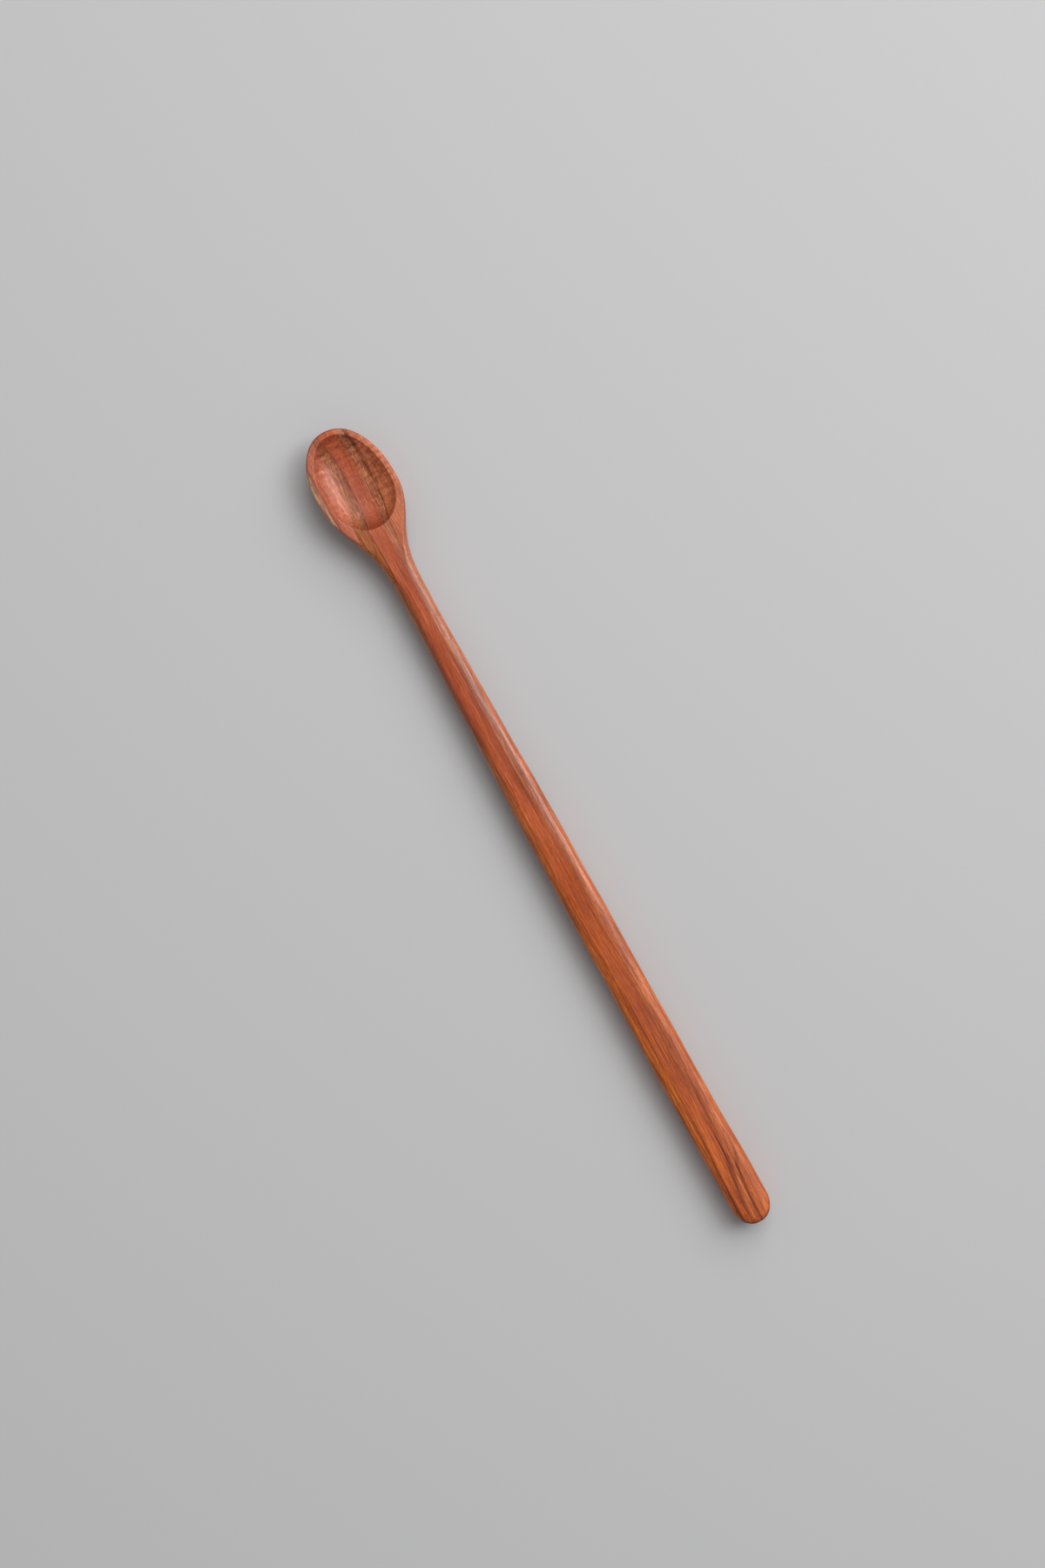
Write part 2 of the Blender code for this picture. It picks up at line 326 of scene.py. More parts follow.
def quads(rows, columns, start, closed=False):
    """Corner numbers of the faces between the rows and columns of a grid of points."""
    number = start + np.arange(rows * columns).reshape(rows, columns)
    if closed:
        number = np.concatenate([number, number[:, :1]], axis=1)
    corners = (number[:-1, :-1], number[1:, :-1], number[1:, 1:], number[:-1, 1:])
    return np.stack(corners, axis=-1).reshape(-1, 4)


# How the middle line sways to the left: at the tip and how soon that dies away, in two bumps given
# by amount, place and reach, in one long bend of the handle, and in a turn to the right at its end
TIP_SWAY = 0.62
TIP_SWAY_REACH = 6
SWAY_BUMPS = [(0.2, 8, 7), (-0.6, 32.5, 9.5)]
HANDLE_BEND = 0.24
BEND_START = 60
BEND_LENGTH = 205
END_TURN = 0.6
END_TURN_START = 250
END_TURN_LENGTH = 50

# Swells of the handle: amount, how far along it a wave turns by one radian, and phase
SWELLS_START = 50
SWELLS_FADE = 30
LONG_SWELL = (0.008, 7.3, 0.6)
SIDE_SWELL = (0.006, 3.9, 1.3)
TOP_SWELL = (0.05, 9.1, 1.1)


def hand_finish(points):
    """The carver's small waverings, as shifts that change slowly along the spoon.

    The middle line sways sideways by up to 0.6 mm. Sines swell the handle's width, by shares
    that differ between its sides, and its height by a few hundredths of a millimetre.
    """
    s, w, z = points[:, 0], points[:, 1], points[:, 2]
    sway = TIP_SWAY * np.exp(-s / TIP_SWAY_REACH)
    for amount, at, reach in SWAY_BUMPS:
        sway += amount * np.exp(-(((s - at) / reach) ** 2))
    bend = HANDLE_BEND * np.sin(math.pi * np.clip((s - BEND_START) / BEND_LENGTH, 0, 1))
    sway += bend - END_TURN * ease((s - END_TURN_START) / END_TURN_LENGTH)
    on_handle = ease((s - SWELLS_START) / SWELLS_FADE)
    amount, radian, phase = LONG_SWELL
    wider = amount * np.sin(s / radian + phase)
    amount, radian, phase = SIDE_SWELL
    wider = wider + amount * np.sin(s / radian + np.sign(w) * phase)
    swell = 1 + on_handle * wider
    amount, radian, phase = TOP_SWELL
    lift = on_handle * amount * np.sin(s / radian + phase) * np.clip(z / END_THICKNESS, 0, 1)
    return np.stack([TIP_X - s, w * swell + sway, np.maximum(z + lift, 0.0)], axis=-1) * MM


# Rows of points along each stretch, and in metres, how near two points are merged and how short
# an edge may be
TIP_ROWS = 9
NOSE_ROWS = 64
SHOULDER_ROWS = 66
NECK_ROWS = 34
HANDLE_ROWS = 170
END_ROWS = 22
MERGE_WITHIN = 1e-6
SHORTEST_EDGE = 1e-7


def carve():
    """The whole surface, as grids that share their edges, with the shared points merged.

    Rows stand closer towards the tip and the end, by the cosine and the sine of even turns.
    """
    edge = RIM_EDGE_ACROSS
    nose = edge + (WIDEST_FROM_TIP - edge) * (1 - np.cos(np.linspace(0, math.pi / 2, NOSE_ROWS)))
    tip = edge * (1 - np.cos(np.linspace(0, math.pi / 2, TIP_ROWS)))[:-1]
    shoulder = np.linspace(WIDEST_FROM_TIP, BEHIND_HOLLOW, SHOULDER_ROWS)[1:]
    neck = np.linspace(BEHIND_HOLLOW, NECK_FROM_TIP, NECK_ROWS)[1:]
    end_start = LENGTH - END_CORNER_ALONG
    handle = np.linspace(NECK_FROM_TIP, end_start, HANDLE_ROWS)[1:]
    end = end_start + END_CORNER_ALONG * np.sin(np.linspace(0, math.pi / 2, END_ROWS))[1:]
    s = np.concatenate([tip, nose, shoulder, neck, handle, end])
    first = len(tip)
    last = first + len(nose) + len(shoulder) - 1

    hull = hull_grid(s, edge_steps=14, hull_steps=40)
    crown = crown_grid(s[last:], steps=16)
    left = hull[first:last + 1, 0, :2]
    right = hull[last:first:-1, -1, :2]
    outline = np.concatenate([left, crown[0, 1:-1, :2], right])
    bowl = hollow_grid(outline, rim_steps=5, lip_steps=8, wall_steps=56)
    last_ring = np.concatenate([hull[-1], crown[-1, -2:0:-1]])
    cap = end_grid(last_ring, steps=8)

    grids = [(hull, False), (crown, False), (bowl, True), (cap, True)]
    points, faces, start = [], [], 0
    for grid, closed in grids:
        points.append(grid.reshape(-1, 3))
        faces.append(quads(grid.shape[0], grid.shape[1], start, closed))
        start += grid.shape[0] * grid.shape[1]
    mesh = bpy.data.meshes.new("carved_spoon")
    mesh.from_pydata(hand_finish(np.concatenate(points)), [], np.concatenate(faces).tolist())

    bm = bmesh.new()
    bm.from_mesh(mesh)
    bmesh.ops.remove_doubles(bm, verts=bm.verts, dist=MERGE_WITHIN)
    bmesh.ops.dissolve_degenerate(bm, edges=bm.edges, dist=SHORTEST_EDGE)
    bmesh.ops.recalc_face_normals(bm, faces=bm.faces)
    bm.to_mesh(mesh)
    bm.free()
    mesh.shade_smooth()
    return mesh


class Wire:
    """A socket of a material's nodes, on which arithmetic adds Math nodes."""

    def __init__(self, socket):
        self.socket = socket

    def node(self, kind, settings, inputs, output=0):
        """Adds a node: its settings first, then values or links for its sockets.

        The setting "curve" fills a float curve.
        """
        tree = self.socket.id_data
        node = tree.nodes.new(kind)
        for name, value in settings.items():
            if name == "curve":
                bend_curve(node.mapping, value)
            else:
                setattr(node, name, value)
        for key, value in inputs.items():
            if isinstance(value, Wire):
                tree.links.new(value.socket, node.inputs[key])
            else:
                node.inputs[key].default_value = value
        return Wire(node.outputs[output])

    def math(self, operation, *values):
        """A Math node on this and other values."""
        return self.node("ShaderNodeMath", {"operation": operation}, dict(enumerate(values)))

    def __add__(self, other):
        return self.math("ADD", self, other)

    def __sub__(self, other):
        return self.math("SUBTRACT", self, other)

    def __mul__(self, other):
        return self.math("MULTIPLY", self, other)

    def __truediv__(self, other):
        return self.math("DIVIDE", self, other)

    def __rsub__(self, other):
        return self.math("SUBTRACT", other, self)

    def __abs__(self):
        return self.math("ABSOLUTE", self)

    __radd__ = __add__
    __rmul__ = __mul__

    def between(self, low, high):
        """0 below low, 1 above high, and smooth between them."""
        limits = {"Value": self, "From Min": low, "From Max": high}
        return self.node("ShaderNodeMapRange", {"interpolation_type": "SMOOTHSTEP"}, limits)

    def tint(self, colour, share, blend="MIX"):
        """This colour with another one laid over it by a share. A Mix node takes colours at 6 and 7."""
        settings = {"data_type": "RGBA", "blend_type": blend, "clamp_factor": True}
        return self.node("ShaderNodeMix", settings, {0: share, 6: self, 7: colour}, output=2)

    def swing(self, wave, share):
        """This colour, darker and redder where a wave from 0 to 1 is low, paler where it is high."""
        darker, paler = (0.5, 0.25, 0.1, 1.0), (1.5, 1.75, 1.9, 1.0)
        ends = {0: wave, 6: darker, 7: paler}
        factor = self.node("ShaderNodeMix", {"data_type": "RGBA"}, ends, output=2)
        return self.tint(factor, share, "MULTIPLY")


def bend_curve(mapping, places):
    """Sets a float curve's points from first to last. It runs level outside them."""
    mapping.extend = "HORIZONTAL"
    curve = mapping.curves[0]
    for place, height in places[2:]:
        curve.points.new(place, height)
    for point, place in zip(curve.points, places):
        point.location = place
        point.handle_type = "AUTO_CLAMPED"
    mapping.update()


def seen(red, green, blue):
    """A colour by its screen values from 0 to 255, as linear light: ((c + 0.055) / 1.055)^2.4."""
    screen = np.array([red, green, blue]) / 255
    return (*((screen + 0.055) / 1.055) ** 2.4, 1.0)


def beside(course, by):
    """A course that runs so many millimetres to the left of another one."""
    return [(s, across + by) for s, across in course]


# Courses of the wood's layers: how far to the spoon's left a layer's edge meets the rim's plane,
# at some places along the spoon. Each layer leans sideways by LEAN for each mm of depth.
LEAN = 0.38
TAN_START = [
    (0, -5.9), (10, -5.4), (30, -5.0), (34, -4.6), (45, -4.3), (66, -3.8), (95, -3.7), (125, -3.5),
    (150, -4.0), (205, -4.2), (225, -3.8), (270, -4.6), (280, -4.0), (286, -2.7), (295, -1.8),
    (305, -1.2),
]
TAN_END = [
    (0, -3.3), (6, -2.2), (14, -1.7), (25, -1.6), (37, -1.8), (65, -1.6), (95, -1.3), (125, -1.2),
    (150, -1.7), (205, -1.9), (225, -1.1), (255, -1.0), (275, -1.3), (285, -0.2), (292, 0.9),
    (298, 1.4), (305, 1.6),
]
DARK_LINE = [
    (0, 3.3), (5, 3.2), (15, 3.05), (25, 3.3), (33, 3.4), (45, 3.15), (62, 3.05), (75, 3.8), (90, 4.9),
    (115, 4.5), (140, 4.0), (185, 3.95), (215, 3.15), (245, 3.2), (275, 3.5), (285, 4.0), (305, 4.8),
]
OUTER_EDGE = [(0, 5.6), (14, 6.6), (30, 7.1), (44, 8.0), (60, 7.0), (120, 7.0), (170, 8.2), (305, 8.4)]
RIM_STRIP = 11.8

# The layers' colours, from the right side to the left, one for each. Towards the handle's end all
# of them turn warmer, and slow clouds of noise make them paler and deeper along the spoon.
RIGHT_RED = seen(186, 100, 62)
RIGHT_TAN = seen(174, 100, 66)
CORE_RED = seen(178, 84, 48)
LEFT_TAN = seen(154, 80, 34)
LEFT_RED = seen(178, 94, 64)
RIM_TAN = seen(168, 116, 88)
WARM_TONE = seen(184, 84, 8)
WARMER = [(120, 0.0), (220, 0.6), (305, 0.7)]
CLOUD_SWING = 0.26

# How far before and past its course each layer blends in, and how deep the rim's strip reaches
CORE_BLEND = (-0.35, 0.35)
TAN_BLEND = (-0.15, 0.2)
LINE_BLEND = (-0.1, 0.2)
OUTER_BLEND = (-0.5, 0.5)
STRIP_BLEND = (RIM_STRIP - 0.1, RIM_STRIP + 0.2)
STRIP_FADES = (1.0, 4.5)
LAYERS_WAVER = 0.7
FIBRES_WAVER = 0.25
STREAKS_FOLLOW_LINE = 0.7

# Dark lines and bands in the wood: tone, half width, course, and strength along the spoon
DEEP_BROWN = seen(70, 28, 0)
MAHOGANY = seen(102, 30, 0)
UMBER = seen(120, 50, 10)
RUSSET = seen(138, 56, 8)
ROSE = seen(150, 88, 80)
END_BAND = [(264, -1.5), (273, -1.3), (279, -0.85), (285, -0.1), (292, 1.05), (298, 1.6), (305, 1.8)]
DARK_GRAIN = [
    (DEEP_BROWN, 0.3, DARK_LINE, [
        (0, 0.6), (20, 0.8), (40, 0.95), (90, 1.0), (104, 0.8), (120, 0.5), (150, 0.45), (180, 0.5),
        (205, 0.35), (225, 0.4), (245, 0.65), (262, 0.5), (290, 0.8), (305, 0.4)]),
    (RUSSET, 1.3, beside(DARK_LINE, -0.6), [(74, 0.0), (84, 0.45), (114, 0.5), (126, 0.0)]),
    (MAHOGANY, 0.24, beside(DARK_LINE, 0.9), [(54, 0.0), (62, 0.7), (104, 0.6), (116, 0.0)]),
    (DEEP_BROWN, 0.9, [(0, -6.2), (14, -5.9), (24, -5.6), (34, -4.9)],
     [(2, 0.2), (7, 0.8), (18, 0.7), (26, 0.35), (34, 0.0)]),
    (UMBER, 0.8, [(0, -3.2), (14, -2.5), (25, -2.4), (40, -2.4)],
     [(5, 0.0), (10, 0.5), (22, 0.45), (32, 0.5), (42, 0.0)]),
    (DEEP_BROWN, 0.34, TAN_START, [(0, 0.6), (34, 0.85), (46, 0.6), (54, 0.0)]),
    (UMBER, 0.4, [(0, 11.4), (305, 11.4)], [(4, 0.0), (12, 0.8), (30, 0.8), (36, 0.0)]),
    (RUSSET, 0.3, beside(DARK_LINE, 3.6), [(8, 0.0), (16, 0.5), (30, 0.5), (36, 0.0)]),
    (RUSSET, 0.28, TAN_END, [
        (50, 0.0), (60, 0.7), (86, 0.7), (100, 0.2), (142, 0.5), (215, 0.5), (262, 0.4), (270, 0.0)]),
    (RUSSET, 0.45, TAN_END, [(84, 0.0), (90, 0.8), (96, 0.0)]),
    (ROSE, 0.25, [(50, -2.3), (70, -2.2)], [(52, 0.0), (58, 0.6), (64, 0.6), (68, 0.0)]),
    (UMBER, 0.8,
     [(88, -3.0), (105, -3.2), (116, -3.1), (127, -2.8), (140, -3.4), (150, -4.1)],
     [(80, 0.0), (94, 0.55), (104, 0.75), (112, 0.55), (124, 0.9), (136, 0.8), (144, 0.5), (152, 0.0)]),
    (UMBER, 0.9, [(98, -0.9), (122, -0.2), (135, -0.4), (143, -0.8), (152, -1.0)],
     [(92, 0.0), (100, 0.5), (112, 0.2), (128, 0.6), (142, 0.9), (149, 0.5), (157, 0.0)]),
    (RUSSET, 0.35, [(150, 1.3), (200, 1.3)], [(156, 0.0), (164, 0.5), (185, 0.5), (196, 0.0)]),
    (RUSSET, 0.4, [(180, -1.1), (196, -1.1)], [(183, 0.0), (188, 0.8), (192, 0.8), (195, 0.0)]),
    (RUSSET, 0.22, [(180, -3.3), (200, -3.4), (216, -3.7)],
     [(182, 0.0), (192, 0.7), (206, 0.7), (216, 0.0)]),
    (UMBER, 0.22, [(205, -2.4), (260, -2.7)],
     [(205, 0.0), (216, 0.7), (245, 0.6), (262, 0.0)]),
    (UMBER, 0.22, [(215, -0.1), (262, 0.1)],
     [(215, 0.0), (228, 0.7), (250, 0.6), (262, 0.0)]),
    (RUSSET, 0.9, [(220, 1.3), (260, 1.3)], [(224, 0.0), (236, 0.5), (246, 0.4), (256, 0.0)]),
    (MAHOGANY, 1.0, END_BAND,
     [(262, 0.0), (270, 0.5), (278, 0.95), (291, 1.0), (297, 0.6), (303, 0.0)]),
    (MAHOGANY, 0.3, beside(END_BAND, -0.95), [(276, 0.0), (283, 0.8), (290, 0.7), (296, 0.0)]),
    (MAHOGANY, 0.9, [(270, -5.2), (280, -4.0), (286, -2.6), (294, -1.7), (305, -1.0)],
     [(270, 0.0), (278, 0.35), (286, 0.9), (297, 0.9), (305, 0.6)]),
    (MAHOGANY, 1.05, [(262, 3.3), (276, 3.9), (290, 4.4), (305, 4.6)],
     [(264, 0.0), (272, 0.45), (283, 0.95), (297, 0.9), (305, 0.6)]),
]

# Flecks of gum, near the handle's end and on the hollow's right wall, and on that wall short dark marks
# across the grain, which are curly figure and painted shade of the gouge's ripples: s, distance to the
# left, half length, half width, how far it runs along for each mm to the left, and strength
GUM_AND_RIPPLE_SHADE = [
    (294.0, 2.4, 0.6, 0.25, 0.0, 0.8), (295.9, 2.6, 0.7, 0.22, 0.0, 0.7),
    (300.5, 1.8, 0.5, 0.25, 0.0, 0.8), (300.9, 2.7, 0.6, 0.25, 0.0, 0.8),
    (298.3, 5.3, 0.8, 0.3, 0.0, 0.8), (295.3, -2.6, 1.3, 0.22, 0.0, 0.7),
    (22.9, -10.6, 0.35, 0.9, -0.9, 0.6), (21.0, -9.3, 1.0, 0.25, 0.0, 0.5),
    (15.3, -10.1, 0.4, 1.5, -0.3, 0.4), (17.0, -7.2, 0.35, 1.5, 0.3, 0.5),
    (21.6, -7.0, 0.5, 1.2, -0.3, 0.45), (22.6, -6.1, 1.5, 0.4, 0.0, 0.6),
]
GUM_AND_SHADE_COLOUR = seen(96, 38, 6)
DARKEST_SHARE = 0.2  # how far out a dark line or a fleck keeps its full strength
VESSEL_SHADE = (0.5, 0.36, 0.26, 1.0)
VESSEL_STRENGTH = 0.5
END_GRAIN_SHADE = (0.5, 0.32, 0.12, 1.0)
END_GRAIN_TURN = (0.1, 0.85)  # how far a face looks along the spoon, from side grain to end grain

# How the grain changes along the spoon: how open the tan layers are, how plain the shoulders'
# figure is, how strong the stripes and the bars across the grain are, and how rough the surface is.
# The bars are curly wood's figure together with painted shade and sheen of the gouge's ripples.
OPEN_GRAIN = [(38, 1.0), (60, 0.45), (305, 0.4)]
PLAIN_SHOULDERS = [(30, 1.0), (38, 0.45), (48, 0.5), (62, 1.0)]
STRIPES = [(40, 0.03), (60, 0.15), (150, 0.2), (190, 0.24), (245, 0.29), (305, 0.32)]
CURL_AND_RIPPLE_SHADE = [(0, 0.2), (10, 0.38), (22, 0.34), (30, 0.16), (36, 0.08), (305, 0.05)]
ROUGHNESS = [
    (0, 0.3), (10, 0.36), (34, 0.34), (46, 0.25), (170, 0.27), (200, 0.34), (235, 0.42), (305, 0.45),
]
# Spacing and length of the bars across the grain, curly figure with painted shade and sheen of the
# gouge's ripples
BAR_SPACING = 1.4
BAR_LENGTH = 4.5
BARS_LOST_IN_CORE = 0.6
BARS_BLEND = (-0.8, 0.6)

# How far each kind of streak swings the colour, and how much further where the grain is open
PATCH_SWING = 0.14
FIBRE_SWING = (0.16, 0.1)
THREAD_SWING = (0.2, 0.3)
HAIR_SWING = (0.2, 0.16)
LEFT_TAN_STRIPES = 0.09
STRIPES_IN_DARK_GRAIN = 0.5

# What the grain adds to the roughness, its height of relief in metres, and the shares of it by
# which fibres, threads and hairs stand up and vessels are sunk
THREADS_GLOSS = 0.08
VESSELS_ROUGH = 0.1
END_GRAIN_ROUGH = 0.12
GRAIN_RELIEF = 0.000016
FIBRE_RELIEF = 0.5
THREAD_RELIEF = 0.6
HAIR_RELIEF = 0.3
VESSEL_RELIEF = 0.8


def oiled_hardwood():
    """Layers of growth run along the blank, streaked by fibres and by short open vessels.

    A place's layer is its distance to the left, plus its depth times the lean, plus a slow
    wavering. Its colour changes where it passes a course. Dark grain is a ridge, 1 on its course
    and 0 from its half width on. Fibres, threads, hairs, stripes and patches swing the colour
    by noise, and across the grain run faint bars: curly wood's figure, together with painted
    shade and sheen of the gouge's ripples.
    """
    material = bpy.data.materials.new("oiled_hardwood_figure")
    material.use_nodes = True
    tree = material.node_tree
    shader = tree.nodes["Principled BSDF"]
    place = Wire(tree.nodes.new("ShaderNodeTexCoord").outputs["Object"])
    facing = place.node("ShaderNodeTexCoord", {}, {}, output="Normal")

    def part(vector, number):
        """One of a vector's three values."""
        return vector.node("ShaderNodeSeparateXYZ", {}, {0: vector}, output=number)

    s = TIP_X - part(place, 0) / MM
    w = part(place, 1) / MM
    depth = RIM_HEIGHT - part(place, 2) / MM

    def along(places, low=0.0, high=1.0):
        """A value that changes smoothly along the spoon, through (s, value) places.

        A float curve holds only heights from 0 to 1, which stand here for low to high.
        """
        curve = [(at / LENGTH, (value - low) / (high - low)) for at, value in places]
        share = s.node("ShaderNodeFloatCurve", {"curve": curve}, {"Value": s / LENGTH})
        return share * (high - low) + low

    tan_start = along(TAN_START, low=-6.0, high=6.0)
    tan_end = along(TAN_END, low=-6.0, high=6.0)
    dark_line = along(DARK_LINE, low=-6.0, high=6.0)

    def noise(long, across, down, detail):
        """Noise about one unit wide, with finer detail laid over it."""
        spot = s.node("ShaderNodeCombineXYZ", {}, {0: long, 1: across, 2: down})
        settings = {"Vector": spot, "Scale": 1.0, "Detail": detail, "Roughness": 0.55}
        return s.node("ShaderNodeTexNoise", {}, settings)

    def streaks(length, width, detail, start=0.0):
        """Noise drawn out along the grain, in streaks of about length by width.

        The streaks follow most of the dark line's bends. Each kind takes another part of the
        noise, and goes from nothing to full between two of its levels.
        """
        across = w - STREAKS_FOLLOW_LINE * dark_line
        return noise(s / length + start, across / width, depth / width, detail)

    wavering = streaks(length=26.0, width=3.0, detail=1.0)
    fibre = streaks(length=14.0, width=0.8, detail=3.0, start=3.0).between(0.34, 0.66)
    thread = streaks(length=11.0, width=0.34, detail=0.0, start=7.0).between(0.36, 0.64)
    hair = streaks(length=2.6, width=0.28, detail=1.0, start=9.0).between(0.34, 0.66)
    stripe = streaks(length=18.0, width=0.42, detail=1.0, start=20.0).between(0.38, 0.62)
    patch = streaks(length=24.0, width=2.2, detail=2.0, start=11.0).between(0.35, 0.65)
    cloud = streaks(length=42.0, width=7.0, detail=1.0, start=31.0).between(0.35, 0.65)
    vessel = streaks(length=3.0, width=0.17, detail=0.0, start=15.0).between(0.64, 0.76)
    bars = noise(s / BAR_SPACING, w / BAR_LENGTH, depth / BAR_LENGTH, detail=1.0).between(0.34, 0.66)

    layer = w + LEAN * depth + LAYERS_WAVER * (wavering - 0.5) + FIBRES_WAVER * (fibre - 0.5)
    in_core = (layer - tan_end).between(*CORE_BLEND)
    in_tan = (layer - tan_start).between(*TAN_BLEND) * (1 - in_core)
    left_tan = (layer - dark_line).between(*LINE_BLEND)
    left_red = (layer - along(OUTER_EDGE, low=0.0, high=12.0)).between(*OUTER_BLEND)
    on_rim = layer.between(*STRIP_BLEND) * (1 - depth.between(*STRIP_FADES))

    reds = {0: in_core, 6: RIGHT_RED, 7: CORE_RED}
    colour = in_core.node("ShaderNodeMix", {"data_type": "RGBA"}, reds, output=2)
    colour = colour.tint(RIGHT_TAN, in_tan)
    colour = colour.tint(LEFT_TAN, left_tan)
    colour = colour.tint(LEFT_RED, left_red)
    colour = colour.tint(RIM_TAN, on_rim)
    colour = colour.tint(WARM_TONE, along(WARMER))
    colour = colour.swing(cloud, CLOUD_SWING)

    tan = in_tan + left_tan * (1 - left_red) + on_rim
    open_grain = tan * along(OPEN_GRAIN)
    plain = along(PLAIN_SHOULDERS)

    def where_open(swing):
        """A swing that grows where the grain is open."""
        usual, more = swing
        return usual + more * open_grain

    colour = colour.swing(patch, PATCH_SWING * plain)
    colour = colour.swing(fibre, where_open(FIBRE_SWING) * plain)
    colour = colour.swing(thread, where_open(THREAD_SWING))
    colour = colour.swing(hair, where_open(HAIR_SWING))
    colour = colour.swing(stripe, along(STRIPES) + LEFT_TAN_STRIPES * left_tan)
    colour = colour.tint(VESSEL_SHADE, vessel * VESSEL_STRENGTH, "MULTIPLY")

    for paint, half_width, course, strength in DARK_GRAIN:
        away = abs(layer - along(course, low=-12.0, high=12.0))
        share = (1 - away.between(DARKEST_SHARE * half_width, half_width)) * along(strength)
        colour = colour.tint(paint, share * (1 - STRIPES_IN_DARK_GRAIN * stripe))
    # Dark flecks: gum, and on the hollow's right wall painted shade of the gouge's ripples across the
    # grain
    for at, across, half_length, half_width, slant, strength in GUM_AND_RIPPLE_SHADE:
        wide = w + LEAN * depth - across
        long = (s - at - slant * wide) / half_length
        wide = wide / half_width
        inside = 1 - (long * long + wide * wide).between(DARKEST_SHARE, 1.0)
        colour = colour.tint(GUM_AND_SHADE_COLOUR, strength * inside)

    # Bars across the grain: curly wood's figure, and painted shade and sheen of the gouge's ripples,
    # strongest in the bowl
    curl_and_ripple_shade = along(CURL_AND_RIPPLE_SHADE) * (1 - BARS_LOST_IN_CORE * (layer - tan_end).between(*BARS_BLEND))
    colour = colour.swing(bars, curl_and_ripple_shade)
    end_grain = abs(part(facing, 0)).between(*END_GRAIN_TURN)
    colour = colour.tint(END_GRAIN_SHADE, end_grain, "MULTIPLY")

    tree.links.new(colour.socket, shader.inputs["Base Color"])
    rough = along(ROUGHNESS) + THREADS_GLOSS * (0.5 - thread)
    rough = rough + VESSELS_ROUGH * vessel + END_GRAIN_ROUGH * end_grain
    tree.links.new(rough.socket, shader.inputs["Roughness"])
    height = FIBRE_RELIEF * fibre + THREAD_RELIEF * thread + HAIR_RELIEF * hair - VESSEL_RELIEF * vessel
    bump = s.node("ShaderNodeBump", {}, {"Strength": 1.0, "Distance": GRAIN_RELIEF, "Height": height})
    tree.links.new(bump.socket, shader.inputs["Normal"])
    return material


spoon = bpy.data.objects.new("carved_spoon", carve())
bpy.context.scene.collection.objects.link(spoon)
spoon.data.materials.append(oiled_hardwood())
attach(spoon, "root")
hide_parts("spoon")


# The table and the light
# A plain pale grey top that far out fades into a room of its own grey. A broad soft window
# stands to the spoon's right and a little ahead, a smaller pane stands square to the handle,
# and the room gives the rest of the light, though gloss shows it dim straight above.

TABLE_COLOUR = (0.53, 0.53, 0.535, 1.0)
TABLE_HALF = 3.0
FADE_START = 0.45
FADE_END = 1.3
ROOM_LIGHT = 0.32
DIMMED_BY = 0.85
DIM_FROM = 0.75  # height of a level of the room, where 1 is straight above
DIM_WHOLLY_FROM = 0.95


def pale_table():
    """Dull pale paint, which the camera sees turn into an even grey from FADE_START to FADE_END."""
    material = bpy.data.materials.new("pale_table")
    material.use_nodes = True
    tree = material.node_tree
    paint = tree.nodes["Principled BSDF"]
    paint.inputs["Base Color"].default_value = TABLE_COLOUR
    paint.inputs["Roughness"].default_value = 0.9
    paint.inputs["Specular IOR Level"].default_value = 0.1
    place = Wire(tree.nodes.new("ShaderNodeTexCoord").outputs["Object"])
    seen_by_camera = place.node("ShaderNodeLightPath", {}, {}, output="Is Camera Ray")
    away = place.node("ShaderNodeVectorMath", {"operation": "LENGTH"}, {0: place}, output="Value")
    grey = place.node("ShaderNodeEmission", {}, {"Color": TABLE_COLOUR, "Strength": 1.0})
    share = seen_by_camera * away.between(FADE_START, FADE_END)
    both = place.node("ShaderNodeMixShader", {}, {0: share, 1: Wire(paint.outputs["BSDF"]), 2: grey})
    tree.links.new(both.socket, tree.nodes["Material Output"].inputs["Surface"])
    return material


def table():
    """A flat square, TABLE_HALF out from its middle each way, far wider than the view."""
    mesh = bpy.data.meshes.new("table")
    corners = [(-1, -1, 0), (1, -1, 0), (1, 1, 0), (-1, 1, 0)]
    mesh.from_pydata(np.array(corners) * TABLE_HALF, [], [(0, 1, 2, 3)])
    mesh.materials.append(pale_table())
    top = bpy.data.objects.new("table", mesh)
    bpy.context.scene.collection.objects.link(top)
    return top


table()


def window(name, bearing, elevation, distance, size, power):
    """A square soft lamp that looks at the spoon from a bearing and an elevation in degrees.

    The bearing turns from the spoon's tip to its left, so that -90 is square to its right side.
    """
    lamp = bpy.data.lights.new(name, "AREA")
    lamp.shape = "SQUARE"
    lamp.size = size
    lamp.energy = power
    holder = bpy.data.objects.new(name, lamp)
    turn = math.radians(bearing)
    rise = math.radians(elevation)
    flat = math.cos(rise)
    away = Vector((math.cos(turn) * flat, math.sin(turn) * flat, math.sin(rise)))
    holder.location = away * distance
    holder.rotation_euler = away.to_track_quat("Z", "Y").to_euler()
    bpy.context.scene.collection.objects.link(holder)


window("window", bearing=-60.0, elevation=50.0, distance=1.8, size=2.0, power=30.0)
window("side_pane", bearing=-92.0, elevation=50.0, distance=1.8, size=0.8, power=7.0)


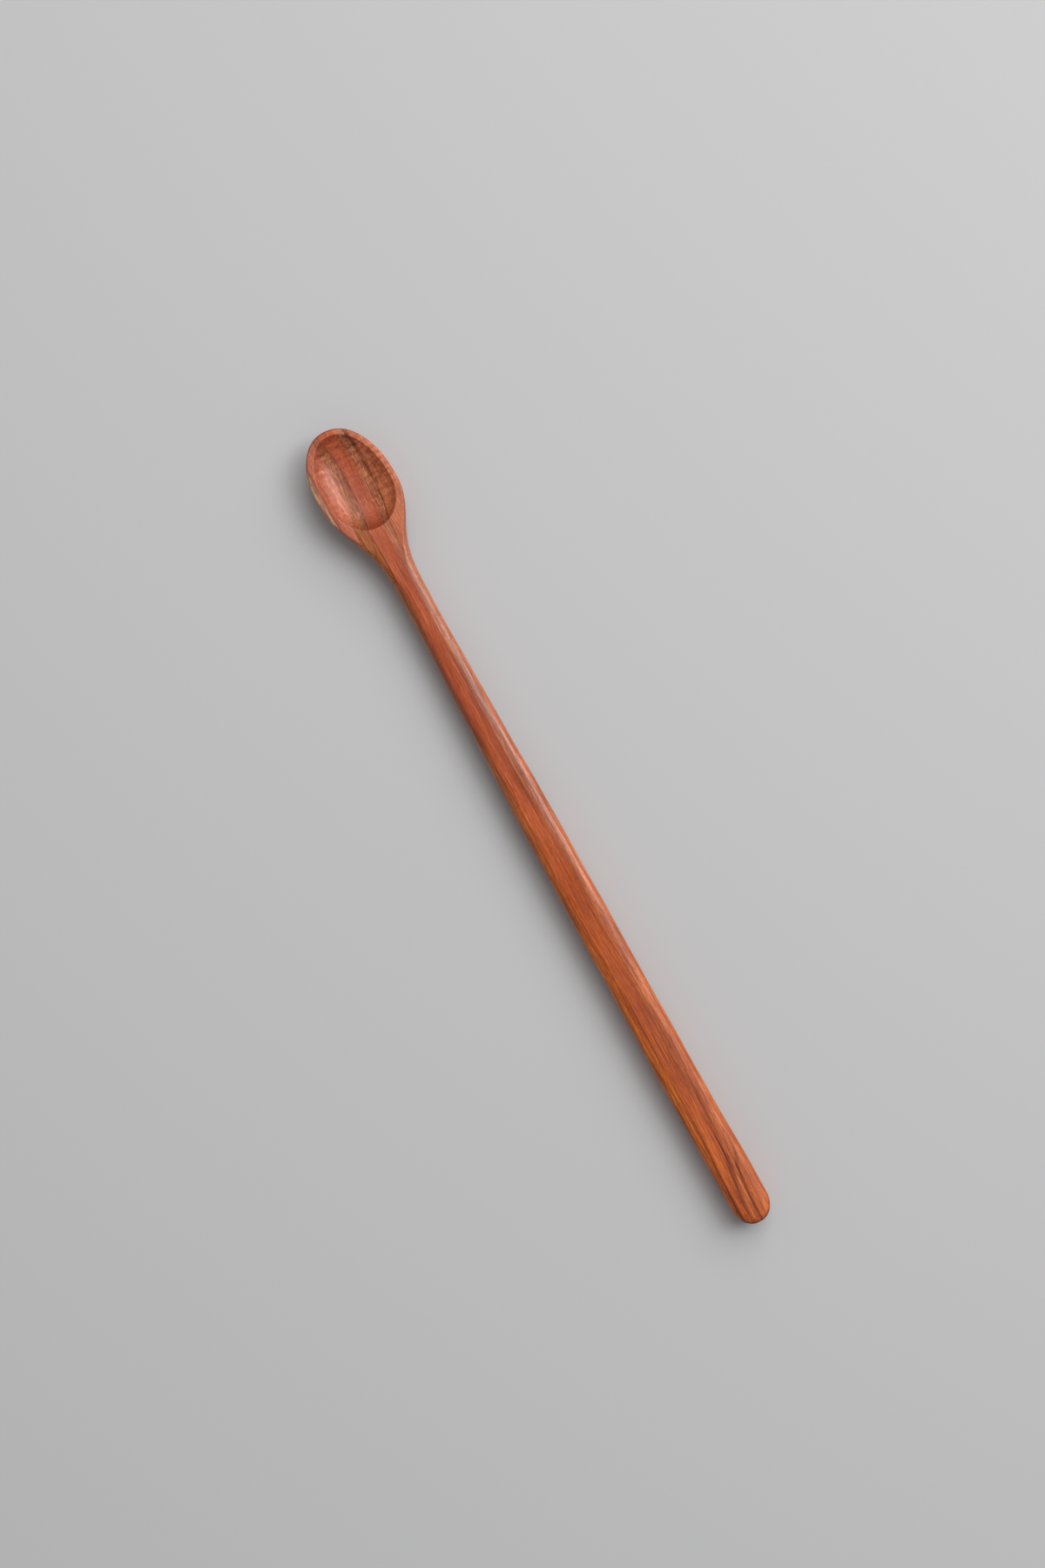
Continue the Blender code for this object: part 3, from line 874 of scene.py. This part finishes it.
def room():
    """Even light from the room, and the table's own colour where the camera looks past the table.

    Gloss sees the light fall by DIMMED_BY towards the zenith, as under a dark ceiling.
    """
    world = bpy.data.worlds.new("room")
    bpy.context.scene.world = world
    world.use_nodes = True
    tree = world.node_tree
    tree.nodes.clear()
    way = Wire(tree.nodes.new("ShaderNodeTexCoord").outputs["Generated"])
    upward = way.node("ShaderNodeSeparateXYZ", {}, {0: way}, output="Z")
    seen_by_camera = way.node("ShaderNodeLightPath", {}, {}, output="Is Camera Ray")
    seen_in_gloss = way.node("ShaderNodeLightPath", {}, {}, output="Is Glossy Ray")
    dimmed = DIMMED_BY * seen_in_gloss * upward.between(DIM_FROM, DIM_WHOLLY_FROM)
    strength = ROOM_LIGHT * (1 - dimmed)
    light = way.node("ShaderNodeBackground", {}, {"Color": (1.0, 1.0, 1.0, 1.0), "Strength": strength})
    shown = way.node("ShaderNodeBackground", {}, {"Color": TABLE_COLOUR, "Strength": 1.0})
    both = way.node("ShaderNodeMixShader", {}, {0: seen_by_camera, 1: light, 2: shown})
    output = tree.nodes.new("ShaderNodeOutputWorld")
    tree.links.new(both.socket, output.inputs["Surface"])


room()


# The camera
# It looks straight down on the spoon, turned so that the bowl's tip points to the picture's
# upper left.

LENS = 60.0
VIEW_HEIGHT = 883.0
LOOKS_AT = (15.9, -1.3)
SPOON_LEVEL = 11.0
PICTURE_UP = Vector((0.87645, -0.48149, 0.0))


def camera():
    """A long lens straight above the spoon, with PICTURE_UP towards the picture's top."""
    lens = bpy.data.cameras.new("camera")
    lens.lens = LENS
    lens.clip_end = 20.0
    holder = bpy.data.objects.new("camera", lens)
    holder.location = (LOOKS_AT[0] * MM, LOOKS_AT[1] * MM, (SPOON_LEVEL + VIEW_HEIGHT) * MM)
    holder.rotation_euler = (0.0, 0.0, math.atan2(-PICTURE_UP.x, PICTURE_UP.y))
    bpy.context.scene.collection.objects.link(holder)
    bpy.context.scene.camera = holder


camera()
bpy.context.scene.view_settings.view_transform = "Standard"
